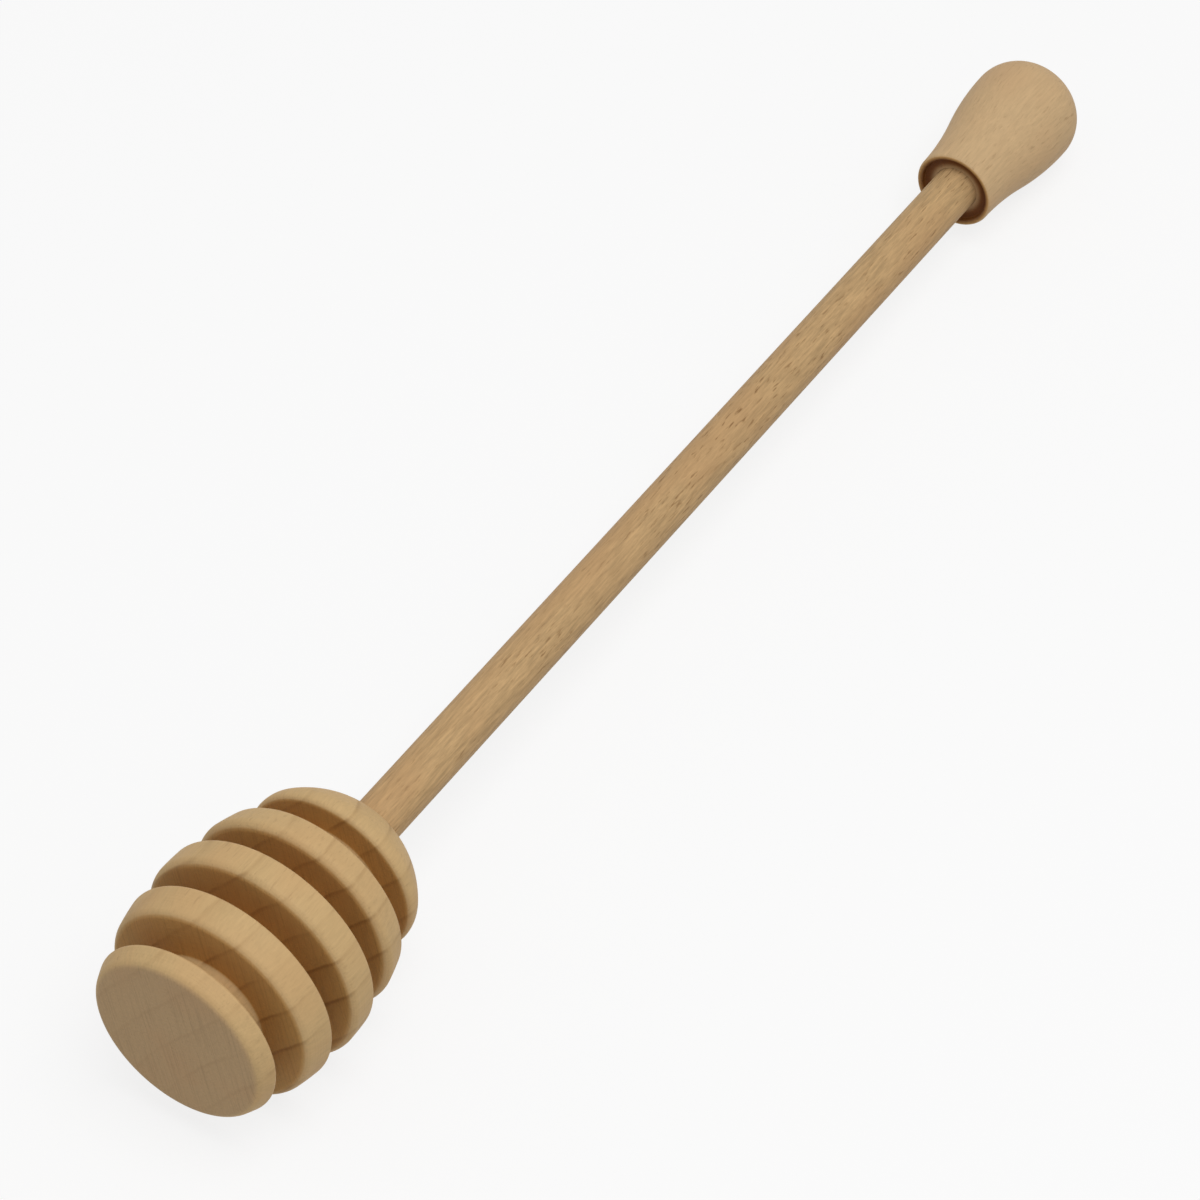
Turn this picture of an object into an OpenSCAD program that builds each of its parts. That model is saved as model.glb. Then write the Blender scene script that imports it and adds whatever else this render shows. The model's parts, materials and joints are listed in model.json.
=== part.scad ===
// Wooden honey dipper: a grooved head and a pear-shaped end knob, both turned,
// glued on the two ends of a round dowel.
// Each piece is drawn along its own lathe axis, tip face first, and then laid down
// on a flat surface: it rests on the widest disc and on the belly of the knob.

/* [Handle] */
// Diameter of the dowel
dowel_d = 6; // [5:0.5:7]
// Length of the dowel, with the ends that sit in the sockets
dowel_len = 160; // [120:1:220]
// Chamfer on the two ends of the dowel
dowel_chamfer = 0.5; // [0.2:0.1:1]

/* [Head] */
// Widest diameter of the head
head_d = 28; // [26:0.5:34]
// Diameter of the rim curve at the tip face
tip_d = 21.6; // [19:0.1:24]
// Diameter of the domed back where it starts, behind the last groove
crown_d = 21.9; // [19:0.1:24]
// Thickness of the first disc, at the tip
tip_disc_t = 2.6; // [2:0.1:4]
// Thickness of each of the other discs
disc_t = 4.1; // [3:0.1:5]
// Width of each groove
groove_w = 3.5; // [2.5:0.1:4.5]
// Number of grooves
groove_count = 4; // [3:1:6]
// Diameter of the core that the grooves are cut down to
core_d = 14; // [11:0.5:16]
// Rounding of the disc edges
disc_edge_r = 0.7; // [0.3:0.1:1]
// Length of the domed back, from the last groove to its top
crown_len = 8; // [6.5:0.1:10]
// Radius where the side of the domed back turns in
crown_edge_r = 3; // [2:0.1:4.5]

/* [Knob] */
// Diameter of the knob's mouth, round the dowel
mouth_d = 10.8; // [10:0.1:12.5]
// Diameter of the knob's belly
knob_d = 14.9; // [13.5:0.1:17]
// Distance from the mouth to the place where the hollow neck turns into the belly
neck_len = 9.7; // [7:0.1:12]
// Distance from the mouth to the widest place of the belly
belly_at = 18.6; // [16:0.1:22]
// Length of the rounded end, past the widest place
knob_end_len = 6; // [5.7:0.1:8]
// Radius where the belly turns into the end
knob_end_r = 5.5; // [3.5:0.1:5.5]
// Rounding of the edge of the mouth
mouth_edge_r = 0.4; // [0.2:0.1:0.8]

/* [Glued joints] */
// Depth of the blind socket in the head, from the top of the domed back
head_socket_depth = 16; // [10:0.5:24]
// Depth of the blind socket in the knob, from its mouth
knob_socket_depth = 11; // [8:0.5:15]
// Room for glue round the dowel
glue_gap = 0.05; // [0.02:0.01:0.1]
// Room for glue past each end of the dowel
socket_end_gap = 0.4; // [0.2:0.1:1]

/* [Hidden] */
$fn = 160;

// A cut runs past the surface by this much
cut_extra = 1;

dowel_r = dowel_d / 2;
head_r = head_d / 2;
tip_r = tip_d / 2;
crown_r = crown_d / 2;
core_r = core_d / 2;
knob_r = knob_d / 2;
mouth_r = mouth_d / 2;
socket_r = dowel_r + glue_gap;

// The rims of the discs lie on one arc, through the tip, the widest place and the last groove's back face
grooved_len = tip_disc_t + groove_count * groove_w + (groove_count - 1) * disc_t;
tip_sag = head_r - tip_r;
crown_sag = head_r - crown_r;
sag_term = grooved_len * grooved_len - tip_sag * crown_sag + crown_sag * crown_sag;
widest_at = sag_term / (grooved_len + sqrt(grooved_len * grooved_len - (1 - crown_sag / tip_sag) * sag_term));
rim_curve_r = (widest_at * widest_at + tip_sag * tip_sag) / (2 * tip_sag);
rim_centre = [head_r - rim_curve_r, widest_at];

// Places along the lathe axis, from the tip face
head_len = grooved_len + crown_len;
dowel_from = head_len - head_socket_depth + socket_end_gap;
knob_from = dowel_from + dowel_len + socket_end_gap - knob_socket_depth;
knob_end_from = knob_from + belly_at;

// The neck and the belly are two arcs that touch at neck_len, both straight along the axis at their far ends
knob_swell = knob_r - mouth_r;
knob_arcs = (knob_swell * knob_swell + belly_at * belly_at) / (2 * knob_swell);
neck_curve_r = knob_arcs * neck_len / belly_at;
belly_curve_r = knob_arcs - neck_curve_r;
neck_turn_r = mouth_r + knob_swell * neck_len / belly_at;

// Radius of the cap that closes a dome, tangent to the arc of its edge
function cap_r(base_r, len, edge_r) =
    (pow(base_r - edge_r, 2) + len * len - edge_r * edge_r) / (2 * (len - edge_r));

// Centre of the rounding circle at a disc's edge, inside the rim arc; its axial place is z
function edge_centre(z) =
    [rim_centre[0] + sqrt(pow(rim_curve_r - disc_edge_r, 2) - pow(z - widest_at, 2)), z];

// Where that circle touches the rim arc
function edge_touch(z) =
    rim_centre + (edge_centre(z) - rim_centre) * rim_curve_r / (rim_curve_r - disc_edge_r);

// The dipper lies with a small lean: the widest disc and the belly touch the same flat surface
lean_along = knob_end_from - widest_at;
lean_across = knob_r - knob_end_r - rim_centre[0];
lean = asin((rim_curve_r - knob_end_r) / norm([lean_along, lean_across])) - atan2(lean_across, lean_along);

// Place of the tip face's centre, so that the origin is under the middle of the whole dipper
knob_cap_r = cap_r(knob_r, knob_end_len, knob_end_r);
tip_z = rim_centre[0] * cos(lean) + widest_at * sin(lean) + rim_curve_r;
reach_back = disc_edge_r * (cos(lean) - 1) - edge_centre(disc_edge_r)[0] * sin(lean);
reach_front = (knob_end_from + knob_end_len - knob_cap_r) * cos(lean) + knob_cap_r;
tip_x = -(reach_back + reach_front) / 2;

// Lays a piece down from its lathe axis
module laid_down() {
    translate([tip_x, 0, tip_z]) rotate([0, 90 + lean, 0]) children();
}

// Half profile of one disc, between two places on the axis
module disc_profile(from, to) {
    near = edge_centre(from + disc_edge_r);
    far = edge_centre(to - disc_edge_r);
    near_touch = edge_touch(from + disc_edge_r);
    far_touch = edge_touch(to - disc_edge_r);
    polygon([[0, from], [near[0], from], near_touch, far_touch, [far[0], to], [0, to]]);
    translate(near) circle(disc_edge_r);
    translate(far) circle(disc_edge_r);
    intersection() {
        translate(rim_centre) circle(rim_curve_r);
        translate([0, near_touch[1]]) square([head_r + cut_extra, far_touch[1] - near_touch[1]]);
    }
}

// Half profile of a domed end: an edge arc and a flatter cap that touch each other
module dome_profile(base_r, len, edge_r) {
    top_r = cap_r(base_r, len, edge_r);
    cap_centre = [0, len - top_r];
    edge_arc = [base_r - edge_r, 0];
    touch = cap_centre + (edge_arc - cap_centre) * top_r / norm(edge_arc - cap_centre);
    intersection() {
        union() {
            polygon([[0, 0], [base_r, 0], touch, [0, touch[1]]]);
            translate(edge_arc) circle(edge_r);
            intersection() {
                translate(cap_centre) circle(top_r);
                translate([0, touch[1]]) square([touch[0], len]);
            }
        }
        square([base_r, len]);
    }
}

// Turned head: discs, the core between them and the domed back, with the socket for the dowel
module dipper_head() {
    color([0.82, 0.68, 0.47]) laid_down() difference() {
        rotate_extrude() {
            square([core_r, grooved_len]);
            disc_profile(0, tip_disc_t);
            for (i = [1:groove_count - 1]) {
                from = tip_disc_t + groove_w + (i - 1) * (disc_t + groove_w);
                disc_profile(from, from + disc_t);
            }
            translate([0, grooved_len]) square([crown_r - disc_edge_r, disc_edge_r]);
            intersection() {
                translate([crown_r - disc_edge_r, grooved_len + disc_edge_r]) circle(disc_edge_r);
                translate([0, grooved_len]) square([crown_r, disc_edge_r]);
            }
            translate([0, grooved_len + disc_edge_r])
                dome_profile(crown_r, crown_len - disc_edge_r, crown_edge_r);
        }
        translate([0, 0, head_len - head_socket_depth])
            cylinder(r = socket_r, h = head_socket_depth + cut_extra);
    }
}

// Plain round dowel, chamfered at both ends
module handle_dowel() {
    color([0.76, 0.60, 0.42]) laid_down() translate([0, 0, dowel_from]) rotate_extrude()
        polygon([
            [0, 0],
            [dowel_r - dowel_chamfer, 0],
            [dowel_r, dowel_chamfer],
            [dowel_r, dowel_len - dowel_chamfer],
            [dowel_r - dowel_chamfer, dowel_len],
            [0, dowel_len]
        ]);
}

// Half profile of the knob, mouth at zero
module knob_profile() {
    neck_centre = [mouth_r + neck_curve_r, 0];
    lip_centre = [
        neck_centre[0] - sqrt(pow(neck_curve_r + mouth_edge_r, 2) - mouth_edge_r * mouth_edge_r),
        mouth_edge_r
    ];
    lip_touch = neck_centre + (lip_centre - neck_centre) * neck_curve_r / (neck_curve_r + mouth_edge_r);
    polygon([[0, 0], [lip_centre[0], 0], lip_touch, [0, lip_touch[1]]]);
    translate(lip_centre) circle(mouth_edge_r);
    difference() {
        translate([0, lip_touch[1]]) square([neck_turn_r, neck_len - lip_touch[1]]);
        translate(neck_centre) circle(neck_curve_r);
    }
    intersection() {
        translate([knob_r - belly_curve_r, belly_at]) circle(belly_curve_r);
        translate([0, neck_len]) square([knob_r, belly_at - neck_len]);
    }
    translate([0, belly_at]) dome_profile(knob_r, knob_end_len, knob_end_r);
}

// Turned pear-shaped knob, with the socket for the dowel in its narrow end
module end_knob() {
    color([0.84, 0.69, 0.48]) laid_down() translate([0, 0, knob_from]) difference() {
        rotate_extrude() knob_profile();
        translate([0, 0, -cut_extra]) cylinder(r = socket_r, h = knob_socket_depth + cut_extra);
    }
}

dipper_head();
handle_dowel();
end_knob();
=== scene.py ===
import json
import math

import bpy
from mathutils import Matrix, Vector


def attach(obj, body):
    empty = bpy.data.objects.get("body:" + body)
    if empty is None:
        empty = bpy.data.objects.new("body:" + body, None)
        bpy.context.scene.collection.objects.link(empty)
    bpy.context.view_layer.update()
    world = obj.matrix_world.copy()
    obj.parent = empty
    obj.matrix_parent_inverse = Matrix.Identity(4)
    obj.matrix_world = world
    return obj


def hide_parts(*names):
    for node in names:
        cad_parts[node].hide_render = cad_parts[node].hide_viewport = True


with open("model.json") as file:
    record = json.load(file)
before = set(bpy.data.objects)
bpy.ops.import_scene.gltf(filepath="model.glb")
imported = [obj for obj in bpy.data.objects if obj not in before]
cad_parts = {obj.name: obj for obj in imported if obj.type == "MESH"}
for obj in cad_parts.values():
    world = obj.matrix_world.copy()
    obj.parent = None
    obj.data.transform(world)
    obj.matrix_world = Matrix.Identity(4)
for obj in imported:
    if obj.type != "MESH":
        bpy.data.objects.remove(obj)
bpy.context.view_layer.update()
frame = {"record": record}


# The grooved head
# One block of pale beech, turned on a lathe: five discs with four grooves between them, cut down
# to a core, and a domed back that is drilled for the handle. Sanded, with no varnish.

mm = 0.001
head_r = 14.0
tip_r = 10.8
crown_r = 10.95
tip_disc_t = 2.6
disc_t = 4.1
groove_w = 3.5
groove_count = 4
core_r = 7.0
core_fillet = 0.4
front_edge_r = 1.1
back_edge_r = 0.45
tip_edge_r = 1.3
crown_len = 8.0
crown_front_r = 0.7
crown_edge_r = 3.0
head_socket_depth = 16.0
socket_r = 3.05
socket_break = 0.15

# The longest straight stretch that stands for a curve: on rims and domes, on small edges and in fillets
rim_step = 0.12
edge_step = 0.06
fillet_step = 0.1

# The rims of the discs lie on one arc, from the tip face to the back of the last groove
grooved_len = tip_disc_t + groove_count * groove_w + (groove_count - 1) * disc_t
tip_sag = head_r - tip_r
crown_sag = head_r - crown_r
sag_term = grooved_len**2 - tip_sag * crown_sag + crown_sag**2
widest_at = sag_term / (grooved_len + math.sqrt(grooved_len**2 - (1 - crown_sag / tip_sag) * sag_term))
rim_curve_r = (widest_at**2 + tip_sag**2) / (2 * tip_sag)
rim_centre = (head_r - rim_curve_r, widest_at)
head_len = grooved_len + crown_len


def arc(centre, radius, start, end, step=rim_step):
    """Points on a circle in the lathe's half plane, (distance from the axis, place along it), in mm."""
    count = max(2, math.ceil(abs(end - start) * radius / step))
    angles = [start + (end - start) * i / count for i in range(count + 1)]
    return [(centre[0] + radius * math.cos(a), centre[1] + radius * math.sin(a)) for a in angles]


def disc_outline(begin, end, front_r, back_r):
    """One disc from its front face over the rim to its back face."""
    corners = []
    for edge_r, at in ((front_r, begin + front_r), (back_r, end - back_r)):
        out = math.sqrt((rim_curve_r - edge_r) ** 2 - (at - widest_at) ** 2)
        corners.append(((rim_centre[0] + out, at), math.atan2(at - widest_at, out)))
    (front_centre, front_lean), (back_centre, back_lean) = corners
    front = arc(front_centre, front_r, -math.pi / 2, front_lean, edge_step)
    rim = arc(rim_centre, rim_curve_r, front_lean, back_lean)[1:-1]
    back = arc(back_centre, back_r, back_lean, math.pi / 2, edge_step)
    return front + rim + back


def groove_floor(begin, end):
    """The core between two discs, with the small fillets that the tool leaves."""
    fillet_at = core_r + core_fillet
    back = arc((fillet_at, begin + core_fillet), core_fillet, -math.pi / 2, -math.pi, fillet_step)
    front = arc((fillet_at, end - core_fillet), core_fillet, math.pi, math.pi / 2, fillet_step)
    return back + front


def cap_radius(base_r, length, edge_r):
    """Radius of the cap that closes a dome and touches the arc of its edge."""
    return ((base_r - edge_r) ** 2 + length**2 - edge_r**2) / (2 * (length - edge_r))


def dome_outline(base_r, length, edge_r, base_at, stop_r):
    """A domed end from its side in to the radius stop_r."""
    top_r = cap_radius(base_r, length, edge_r)
    cap_centre = (0.0, base_at + length - top_r)
    turn_at = math.atan2(top_r - length, base_r - edge_r)
    edge = arc((base_r - edge_r, base_at), edge_r, 0.0, turn_at)
    return edge + arc(cap_centre, top_r, turn_at, math.acos(stop_r / top_r))[1:]


def turned(name, outline, node):
    """Spins an outline in mm round the lathe axis and lays the piece where its CAD node is."""
    around = 224
    on_axis = 1e-6
    sharp_from = math.radians(40)
    points = []
    rings = []
    for r, along in outline:
        if r < on_axis:
            rings.append([len(points)])
            points.append((0.0, 0.0, along))
            continue
        rings.append(list(range(len(points), len(points) + around)))
        for i in range(around):
            turn = 2 * math.pi * i / around
            points.append((r * math.cos(turn), r * math.sin(turn), along))
    faces = []
    for lower, upper in zip(rings, rings[1:]):
        for i in range(around):
            j = (i + 1) % around
            if len(lower) == 1:
                faces.append((lower[0], upper[j], upper[i]))
            elif len(upper) == 1:
                faces.append((lower[i], lower[j], upper[0]))
            else:
                faces.append((lower[i], lower[j], upper[j], upper[i]))
    mesh = bpy.data.meshes.new(name)
    mesh.from_pydata([Vector(p) * mm for p in points], [], faces)
    mesh.shade_smooth()
    mesh.set_sharp_from_angle(angle=sharp_from)
    place = mesh.attributes.new("lathe_place", "FLOAT_VECTOR", "POINT")
    place.data.foreach_set("vector", [c for p in points for c in p])
    end_grain = mesh.attributes.new("end_grain", "FLOAT", "POINT")
    end_grain.data.foreach_set("value", [abs(v.normal.z) for v in mesh.vertices])
    mesh.transform(lathe_to_row)
    piece = bpy.data.objects.new(name, mesh)
    bpy.context.scene.collection.objects.link(piece)
    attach(piece, "root")
    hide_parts(node)
    return piece


# The lathe axis starts in the middle of the tip face and runs to the knob
tip_face = next(m for m in frame["record"]["mounts"] if m["name"] == "tip_face")
axis = -Vector(tip_face["axis"])
across = Vector((0.0, 1.0, 0.0))
lathe_to_row = Matrix((across.cross(axis), across, axis)).transposed().to_4x4()
lathe_to_row.translation = Vector(tip_face["pos_m"])

head_outline = [(0.0, 0.0)] + disc_outline(0.0, tip_disc_t, tip_edge_r, back_edge_r)
for i in range(groove_count - 1):
    groove_from = tip_disc_t + i * (disc_t + groove_w)
    disc_from = groove_from + groove_w
    head_outline += groove_floor(groove_from, disc_from)
    head_outline += disc_outline(disc_from, disc_from + disc_t, front_edge_r, back_edge_r)
head_outline += groove_floor(grooved_len - groove_w, grooved_len)
crown_from = grooved_len + crown_front_r
head_outline += arc((crown_r - crown_front_r, crown_from), crown_front_r, -math.pi / 2, 0.0, edge_step)
head_outline += dome_outline(
    crown_r, crown_len - crown_front_r, crown_edge_r, crown_from, socket_r + socket_break
)
head_outline += [
    (socket_r, head_outline[-1][1] - socket_break),
    (socket_r, head_len - head_socket_depth),
    (0.0, head_len - head_socket_depth),
]
head = turned("turned_head", head_outline, "dipper_head")


def add(tree, kind, inputs, **settings):
    """A shader node with its settings made and its inputs set or linked."""
    made = tree.nodes.new("ShaderNode" + kind)
    for key, value in settings.items():
        setattr(made, key, value)
    for key, value in inputs.items():
        if isinstance(value, bpy.types.NodeSocket):
            tree.links.new(value, made.inputs[key])
        else:
            made.inputs[key].default_value = value
    return made


def calc(tree, operation, a, b=0.0, c=0.0):
    """One step of arithmetic on up to three values."""
    return add(tree, "Math", {0: a, 1: b, 2: c}, operation=operation).outputs[0]


def blend(tree, amount, under, over, how="MIX"):
    """Lays one colour over another by an amount from 0 to 1."""
    inputs = {0: amount, 6: under, 7: over}
    return add(tree, "Mix", inputs, data_type="RGBA", blend_type=how).outputs[2]


def ramp(tree, value, low, high):
    """0 below low and 1 above high, eased between them."""
    inputs = {"Value": value, "From Min": low, "From Max": high}
    return add(tree, "MapRange", inputs, interpolation_type="SMOOTHSTEP").outputs[0]


def fall(tree, value, low, high):
    """1 below low and 0 above high, eased between them."""
    return calc(tree, "SUBTRACT", 1.0, ramp(tree, value, low, high))


def weaken(tree, amount, where, least):
    """Leaves an amount whole where `where` is 1, and only the share `least` of it where that is 0."""
    return calc(tree, "MULTIPLY", amount, calc(tree, "MULTIPLY_ADD", where, 1 - least, least))


def grain_noise(tree, place, size, detail=2.0, roughness=0.5, shift=0.0):
    """Noise whose spots are size mm long along the three axes of the wood."""
    scale = tuple(1 / s for s in size)
    inputs = {"Vector": place, "Location": (shift, shift, shift), "Scale": scale}
    at = add(tree, "Mapping", inputs).outputs[0]
    inputs = {"Vector": at, "Scale": 1.0, "Detail": detail, "Roughness": roughness}
    return add(tree, "TexNoise", inputs).outputs[0]


def beech(
    name,
    pale,
    late,
    fleck,
    ring_turn,
    ray_turn,
    ring_gap,
    ring_at,
    late_amount,
    fibre_amount,
    fleck_amount,
    seed,
    painted_recess_shade=None,
):
    """Bare beech: growth rings, fibres, the short brown flecks of its rays, and darker end grain, with
    painted shade on the end grain in the grooves and, where asked, in a recess.
    Places are in mm, turned so that the first axis crosses the rings and the third runs with the grain."""
    material = bpy.data.materials.new(name)
    material.use_nodes = True
    tree = material.node_tree
    tree.nodes.clear()
    lathe_place = add(tree, "Attribute", {}, attribute_name="lathe_place").outputs["Vector"]
    end_grain = add(tree, "Attribute", {}, attribute_name="end_grain").outputs["Fac"]
    lathe_parts = add(tree, "SeparateXYZ", {"Vector": lathe_place}).outputs
    along = lathe_parts[2]
    turn = {"Vector": lathe_place, "Rotation": (0.0, 0.0, -ring_turn)}
    place = add(tree, "Mapping", turn).outputs[0]
    parts = add(tree, "SeparateXYZ", {"Vector": place}).outputs

    # Growth rings: the pith lies far outside the piece, so they are nearly flat layers
    pith = 70.0
    drift_by = 1.4
    wander_by = 0.3
    drift = grain_noise(tree, place, size=(14, 14, 45), shift=seed)
    wander = grain_noise(tree, place, size=(3, 3, 12), shift=seed + 3)
    from_pith = calc(tree, "POWER", calc(tree, "ADD", parts[0], pith), 2.0)
    from_pith = calc(tree, "SQRT", calc(tree, "MULTIPLY_ADD", parts[1], parts[1], from_pith))
    layer = calc(tree, "SUBTRACT", from_pith, pith + ring_at + drift_by / 2)
    layer = calc(tree, "MULTIPLY_ADD", drift, drift_by, layer)
    layer = calc(tree, "MULTIPLY_ADD", wander, wander_by, calc(tree, "SUBTRACT", layer, wander_by / 2))
    phase = calc(tree, "FRACT", calc(tree, "DIVIDE", layer, ring_gap))

    # A ring darkens slowly, ends in a thin dark line, and shows least on the tip face and on the rims
    slow_share = 0.3
    line_at = 0.93
    slow = calc(tree, "MULTIPLY", ramp(tree, phase, low=0.3, high=0.9), slow_share)
    late_rise = calc(tree, "MULTIPLY_ADD", ramp(tree, phase, low=0.83, high=line_at), 1 - slow_share, slow)
    late_wood = calc(tree, "MULTIPLY", late_rise, fall(tree, phase, low=line_at, high=1.0))
    uneven = ramp(tree, grain_noise(tree, place, size=(9, 9, 9), shift=seed + 7), low=0.3, high=0.7)
    behind_tip = ramp(tree, along, low=0.3, high=3.0)
    late_wood = weaken(tree, late_wood, uneven, least=0.3)
    late_wood = weaken(tree, late_wood, behind_tip, least=0.2)
    late_wood = weaken(tree, late_wood, end_grain, least=0.35)

    # Fibres and flecks run with the grain; rays cross it and show on the end grain
    fibre = grain_noise(tree, place, size=(0.35, 0.35, 3.6), detail=4.0, roughness=0.65, shift=seed)
    flecks = grain_noise(tree, place, size=(0.24, 0.34, 2.0), shift=seed + 11)
    flecks = ramp(tree, flecks, low=0.56, high=0.74)
    crowd = ramp(tree, grain_noise(tree, place, size=(5, 5, 16), shift=seed + 5), low=0.35, high=0.65)
    flecks = weaken(tree, flecks, crowd, least=0.3)
    turn = {"Vector": lathe_place, "Rotation": (0.0, 0.0, -ray_turn)}
    ray_place = add(tree, "Mapping", turn).outputs[0]
    rays = grain_noise(tree, ray_place, size=(9.0, 0.22, 2.2), detail=3.0, roughness=0.7, shift=seed)
    rays = ramp(tree, rays, low=0.46, high=0.72)
    patches = grain_noise(tree, place, size=(11, 7, 18), shift=seed + 9)

    # The colours, one over the other
    rosy = tuple(a * b for a, b in zip(pale[:3], (1.02, 0.93, 0.90))) + (1.0,)
    rosy_amount = 0.45
    ray_brown = (0.19, 0.115, 0.055, 1.0)
    ray_amount_on_ends = 0.2
    ray_amount_on_sides = 0.03
    # End grain is greyer on the tip face. Behind the tip, on the faces in the grooves, it is tinted warmer
    # and darker: partly the end grain itself, partly painted shade between the discs.
    tip_tint = (0.84, 0.83, 0.92, 1.0)
    groove_end_grain_and_shade_tint = (0.85, 0.70, 0.47, 1.0)
    end_amount = 0.95
    colour = blend(tree, calc(tree, "MULTIPLY", late_wood, late_amount), pale, late)
    shade = calc(tree, "MULTIPLY_ADD", fibre, fibre_amount, 1 - fibre_amount / 2)
    shade = add(tree, "CombineColor", {0: shade, 1: shade, 2: shade}).outputs[0]
    colour = blend(tree, 1.0, colour, shade, "MULTIPLY")
    rosy_patches = calc(tree, "MULTIPLY", ramp(tree, patches, low=0.42, high=0.68), rosy_amount)
    colour = blend(tree, rosy_patches, colour, rosy)
    colour = blend(tree, calc(tree, "MULTIPLY", flecks, fleck_amount), colour, fleck)
    cut_across = ramp(tree, end_grain, low=0.75, high=1.0)
    ray_amount = calc(tree, "MULTIPLY_ADD", cut_across, ray_amount_on_ends, ray_amount_on_sides)
    colour = blend(tree, calc(tree, "MULTIPLY", rays, ray_amount), colour, ray_brown)
    end_grain_and_shade_tint = blend(tree, behind_tip, tip_tint, groove_end_grain_and_shade_tint)
    colour = blend(tree, calc(tree, "MULTIPLY", cut_across, end_amount), colour, end_grain_and_shade_tint, "MULTIPLY")

    # Painted shade: a darkened ring round the axis, between two radii and down to a depth, standing in for
    # the shade inside a recess
    flat = add(tree, "CombineXYZ", {0: lathe_parts[0], 1: lathe_parts[1]}).outputs[0]
    from_axis = add(tree, "VectorMath", {0: flat}, operation="LENGTH").outputs["Value"]
    if painted_recess_shade:
        ring = fall(tree, from_axis, low=painted_recess_shade["outer_r"], high=painted_recess_shade["outer_r"] + painted_recess_shade["outer_fade"])
        inner = ramp(tree, from_axis, low=painted_recess_shade["inner_r"], high=painted_recess_shade["full_r"])
        ring = calc(tree, "MULTIPLY", ring, inner)
        above = fall(tree, along, low=painted_recess_shade["floor_at"], high=painted_recess_shade["floor_at"] + painted_recess_shade["floor_fade"])
        colour = blend(tree, calc(tree, "MULTIPLY", ring, above), colour, painted_recess_shade["tint"], "MULTIPLY")

    # Fine marks of the turning tool, along the rims and round the faces
    fine_pitch = 0.47
    wide_pitch = 1.13
    mark_height = 0.06
    fibre_height = 0.8
    fleck_depth = 0.3
    path = calc(tree, "ADD", along, from_axis)
    fine = calc(tree, "SINE", calc(tree, "MULTIPLY", path, 2 * math.pi / fine_pitch))
    wide = calc(tree, "SINE", calc(tree, "MULTIPLY", path, 2 * math.pi / wide_pitch))
    marks = calc(tree, "ADD", fine, wide)
    height = calc(tree, "MULTIPLY_ADD", marks, mark_height, calc(tree, "MULTIPLY", fibre, fibre_height))
    height = calc(tree, "SUBTRACT", height, calc(tree, "MULTIPLY", flecks, fleck_depth))
    bump = add(tree, "Bump", {"Strength": 0.35, "Distance": 0.00012, "Height": height}).outputs[0]

    # Sanded wood has no gloss to speak of
    smoothest = 0.5
    fibre_roughness = 0.16
    rough = calc(tree, "MULTIPLY_ADD", fibre, fibre_roughness, smoothest)
    skin = {"Base Color": colour, "Roughness": rough, "Normal": bump, "IOR": 1.45, "Specular IOR Level": 0.2}
    surface = add(tree, "BsdfPrincipled", skin).outputs[0]
    add(tree, "OutputMaterial", {"Surface": surface})
    return material


head.data.materials.append(
    beech(
        "bare_beech_head",
        pale=(0.66, 0.45, 0.215, 1.0),
        late=(0.34, 0.185, 0.07, 1.0),
        fleck=(0.33, 0.19, 0.09, 1.0),
        ring_turn=math.radians(126),
        ray_turn=math.radians(167),
        ring_gap=4.3,
        ring_at=0.6,
        late_amount=0.8,
        fibre_amount=0.35,
        fleck_amount=0.25,
        seed=2.0,
    )
)


# The handle
# A plain round beech dowel, 6 mm thick, bought in and cut to length. Its two ends are glued into
# the sockets of the head and the knob.

dowel_r = 3.0
dowel_len = 160.0
dowel_chamfer = 0.5
socket_end_gap = 0.4
dowel_from = head_len - head_socket_depth + socket_end_gap
dowel_to = dowel_from + dowel_len

dowel_step = 2.0
side_from = dowel_from + dowel_chamfer
side_to = dowel_to - dowel_chamfer
side_count = round((side_to - side_from) / dowel_step)
dowel_outline = [(0.0, dowel_from), (dowel_r - dowel_chamfer, dowel_from)]
for i in range(side_count + 1):
    dowel_outline.append((dowel_r, side_from + (side_to - side_from) * i / side_count))
dowel_outline += [(dowel_r - dowel_chamfer, dowel_to), (0.0, dowel_to)]
handle = turned("round_dowel", dowel_outline, "handle_dowel")
handle.data.materials.append(
    beech(
        "bare_beech_dowel",
        pale=(0.57, 0.372, 0.18, 1.0),
        late=(0.38, 0.215, 0.09, 1.0),
        fleck=(0.27, 0.145, 0.055, 1.0),
        ring_turn=math.radians(35),
        ray_turn=math.radians(35),
        ring_gap=2.6,
        ring_at=0.4,
        late_amount=0.3,
        fibre_amount=1.15,
        fleck_amount=0.9,
        seed=21.0,
    )
)


# The end knob
# A small pear of the same beech, turned. Its narrow end has a shallow recess round the hole that the handle
# is glued into, darkened inside with painted shade.

mouth_r = 5.4
knob_r = 7.45
neck_len = 9.7
belly_at = 18.6
knob_end_len = 6.0
knob_end_r = 5.5
lip_r = 0.4
recess_depth = 0.7
recess_corner_r = 0.25
knob_socket_depth = 11.0
knob_from = dowel_to + socket_end_gap - knob_socket_depth
lip_step = 0.05
pear_step = 0.3

# The hollow neck and the round belly are two arcs that touch at neck_len
knob_swell = knob_r - mouth_r
knob_arcs = (knob_swell**2 + belly_at**2) / (2 * knob_swell)
neck_curve_r = knob_arcs * neck_len / belly_at
belly_curve_r = knob_arcs - neck_curve_r
neck_centre = (mouth_r + neck_curve_r, knob_from)
belly_centre = (knob_r - belly_curve_r, knob_from + belly_at)
touch_angle = math.asin(neck_len / neck_curve_r)
belly_angle = math.asin((belly_at - neck_len) / belly_curve_r)

lip_out = neck_centre[0] - math.sqrt((neck_curve_r + lip_r) ** 2 - lip_r**2)
lip_lean = math.asin(lip_r / (neck_curve_r + lip_r))
recess_r = lip_out - lip_r
recess_at = knob_from + recess_depth
recess_corner = (recess_r - recess_corner_r, recess_at - recess_corner_r)

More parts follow.
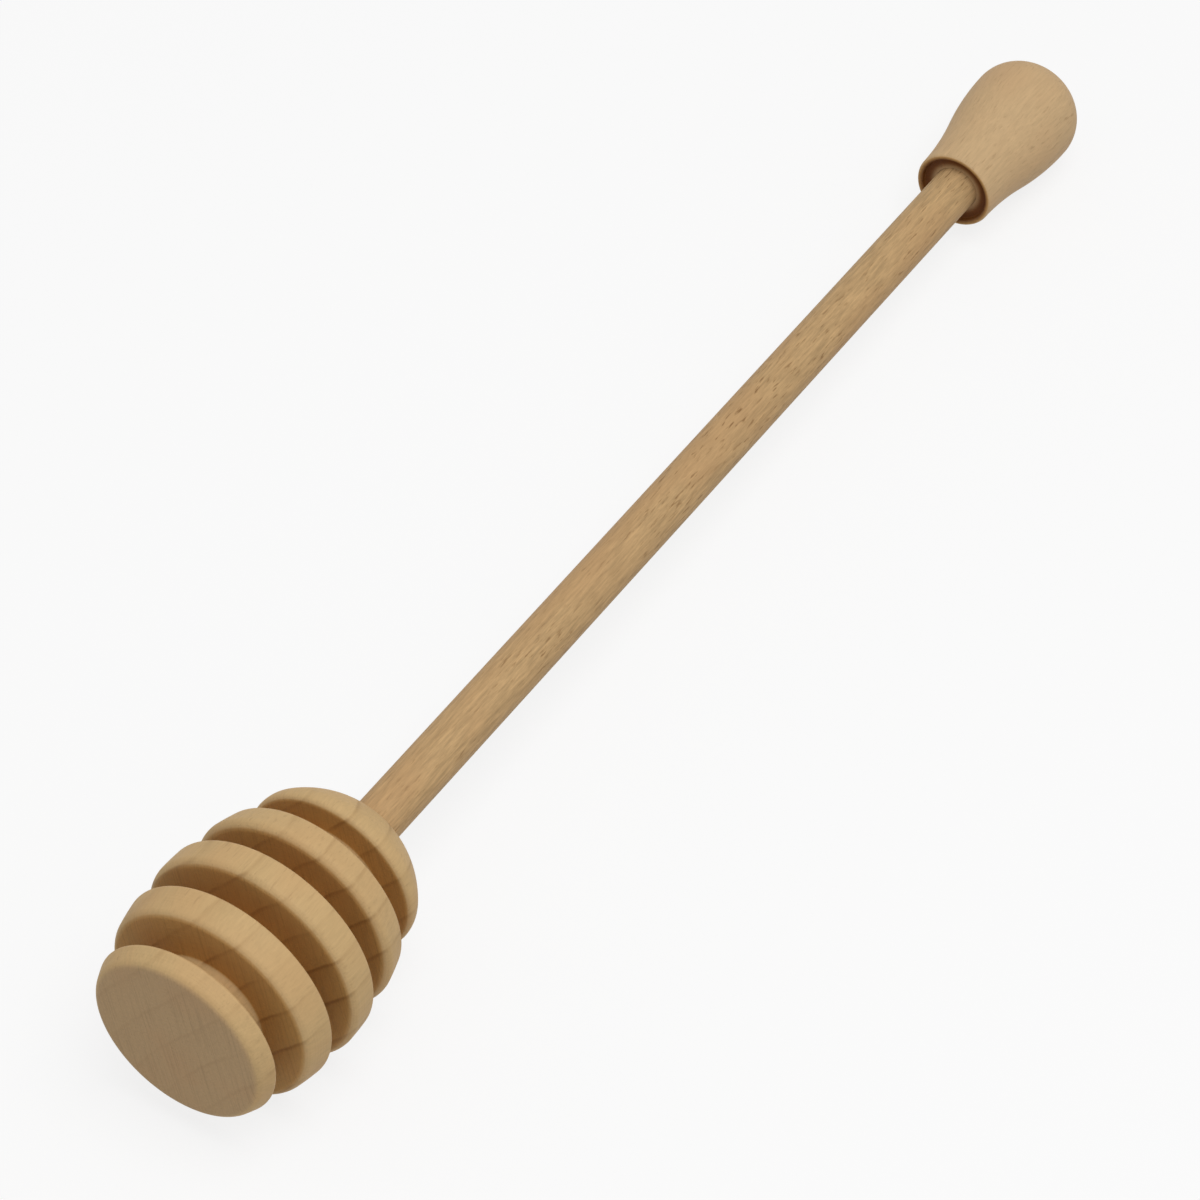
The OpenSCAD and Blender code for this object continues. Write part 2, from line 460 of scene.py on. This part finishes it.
knob_outline = [
    (0.0, knob_from + knob_socket_depth),
    (socket_r, knob_from + knob_socket_depth),
    (socket_r, recess_at),
]
knob_outline += arc(recess_corner, recess_corner_r, math.pi / 2, 0.0)
knob_outline += arc((lip_out, knob_from + lip_r), lip_r, -math.pi, -lip_lean, lip_step)
knob_outline += arc(neck_centre, neck_curve_r, math.pi - lip_lean, math.pi - touch_angle, pear_step)[1:]
knob_outline += arc(belly_centre, belly_curve_r, -belly_angle, 0.0, pear_step)[1:]
knob_outline += dome_outline(knob_r, knob_end_len, knob_end_r, knob_from + belly_at, 0.0)[1:]
knob = turned("pear_knob", knob_outline, "end_knob")

# Painted shade: where the dark tint for the shade inside the knob's recess lies, and how dark it is
recess_shade = {
    "inner_r": dowel_r - 0.4,
    "full_r": recess_r - 0.6,
    "outer_r": recess_r,
    "outer_fade": 1.6 * lip_r,
    "floor_at": recess_at,
    "floor_fade": 1.0,
    "tint": (0.26, 0.14, 0.055, 1.0),
}
knob.data.materials.append(
    beech(
        "bare_beech_knob",
        pale=(0.66, 0.455, 0.245, 1.0),
        late=(0.45, 0.28, 0.14, 1.0),
        fleck=(0.36, 0.21, 0.10, 1.0),
        ring_turn=math.radians(75),
        ray_turn=math.radians(75),
        ring_gap=5.2,
        ring_at=1.5,
        late_amount=0.2,
        fibre_amount=0.4,
        fleck_amount=0.5,
        seed=40.0,
        painted_recess_shade=recess_shade,
    )
)


# The floor
# A plain white surface. It shows near white to the camera and keeps a soft shadow of the dipper.

floor_half = 2.0
floor_drop = 0.00003
floor_grey = (0.62, 0.62, 0.62, 1.0)
white = (1.0, 1.0, 1.0, 1.0)
floor_glow = 1.13
glow_share = 0.72

floor_corners = ((-1, -1), (1, -1), (1, 1), (-1, 1))
floor_points = [(x * floor_half, y * floor_half, -floor_drop) for x, y in floor_corners]
floor_mesh = bpy.data.meshes.new("studio_floor")
floor_mesh.from_pydata(floor_points, [], [(0, 1, 2, 3)])
floor = bpy.data.objects.new("studio_floor", floor_mesh)
bpy.context.scene.collection.objects.link(floor)
floor_paint = bpy.data.materials.new("studio_floor_paint")
floor_paint.use_nodes = True
floor_tree = floor_paint.node_tree
floor_tree.nodes.clear()


def seen_white(tree):
    """1 on the rays that show a background: from the camera, off gloss and through glass."""
    rays = add(tree, "LightPath", {}).outputs
    seen = calc(tree, "MAXIMUM", rays["Is Camera Ray"], rays["Is Glossy Ray"])
    return calc(tree, "MAXIMUM", seen, rays["Is Transmission Ray"])


matt = add(floor_tree, "BsdfDiffuse", {"Color": floor_grey}).outputs[0]
glow = add(floor_tree, "Emission", {"Color": white, "Strength": floor_glow}).outputs[0]
glow_amount = calc(floor_tree, "MULTIPLY", seen_white(floor_tree), glow_share)
floor_mix = add(floor_tree, "MixShader", {0: glow_amount, 1: matt, 2: glow}).outputs[0]
add(floor_tree, "OutputMaterial", {"Surface": floor_mix})
floor_mesh.materials.append(floor_paint)


# The light
# A plain studio: one large soft lamp high above the dipper and a little to the camera's side of
# it, and an even dome that shows white where it is seen.

dome_strength = 0.42
dome_seen_strength = 1.0

dome = bpy.data.worlds.new("studio_dome")
bpy.context.scene.world = dome
dome.use_nodes = True
dome_tree = dome.node_tree
dome_tree.nodes.clear()
dome_light = add(dome_tree, "Background", {"Color": white, "Strength": dome_strength}).outputs[0]
dome_white = add(dome_tree, "Background", {"Color": white, "Strength": dome_seen_strength}).outputs[0]
dome_mix = add(dome_tree, "MixShader", {0: seen_white(dome_tree), 1: dome_light, 2: dome_white}).outputs[0]
add(dome_tree, "OutputWorld", {"Surface": dome_mix})

lamp = bpy.data.lights.new("soft_lamp", "AREA")
lamp.shape = "DISK"
lamp.size = 0.50
lamp.energy = 2.3
lamp_at = Vector((-0.06, -0.20, 0.68))
lamp_object = bpy.data.objects.new("soft_lamp", lamp)
bpy.context.scene.collection.objects.link(lamp_object)
lamp_object.location = lamp_at
lamp_object.rotation_euler = (-lamp_at).to_track_quat("-Z", "Y").to_euler()


# The camera
# It stands in front of the head and above it, and sees the whole dipper running up to the right.

view_azimuth = math.radians(-57.5)
view_elevation = math.radians(47.0)
view_distance = 0.5473
view_aim = Vector((-0.0158, -0.0023, 0.012))
focal_px = 4635
frame_px = 1200
sensor_mm = 36.0

back = Vector(
    (
        math.sin(view_azimuth) * math.cos(view_elevation),
        -math.cos(view_azimuth) * math.cos(view_elevation),
        math.sin(view_elevation),
    )
)
camera_data = bpy.data.cameras.new("camera")
camera_data.sensor_width = sensor_mm
camera_data.lens = sensor_mm * focal_px / frame_px
camera_data.clip_start = 0.01
camera = bpy.data.objects.new("camera", camera_data)
bpy.context.scene.collection.objects.link(camera)
camera.location = view_aim + back * view_distance
camera.rotation_euler = (-back).to_track_quat("-Z", "Y").to_euler()
bpy.context.scene.camera = camera
bpy.context.scene.view_settings.view_transform = "Standard"
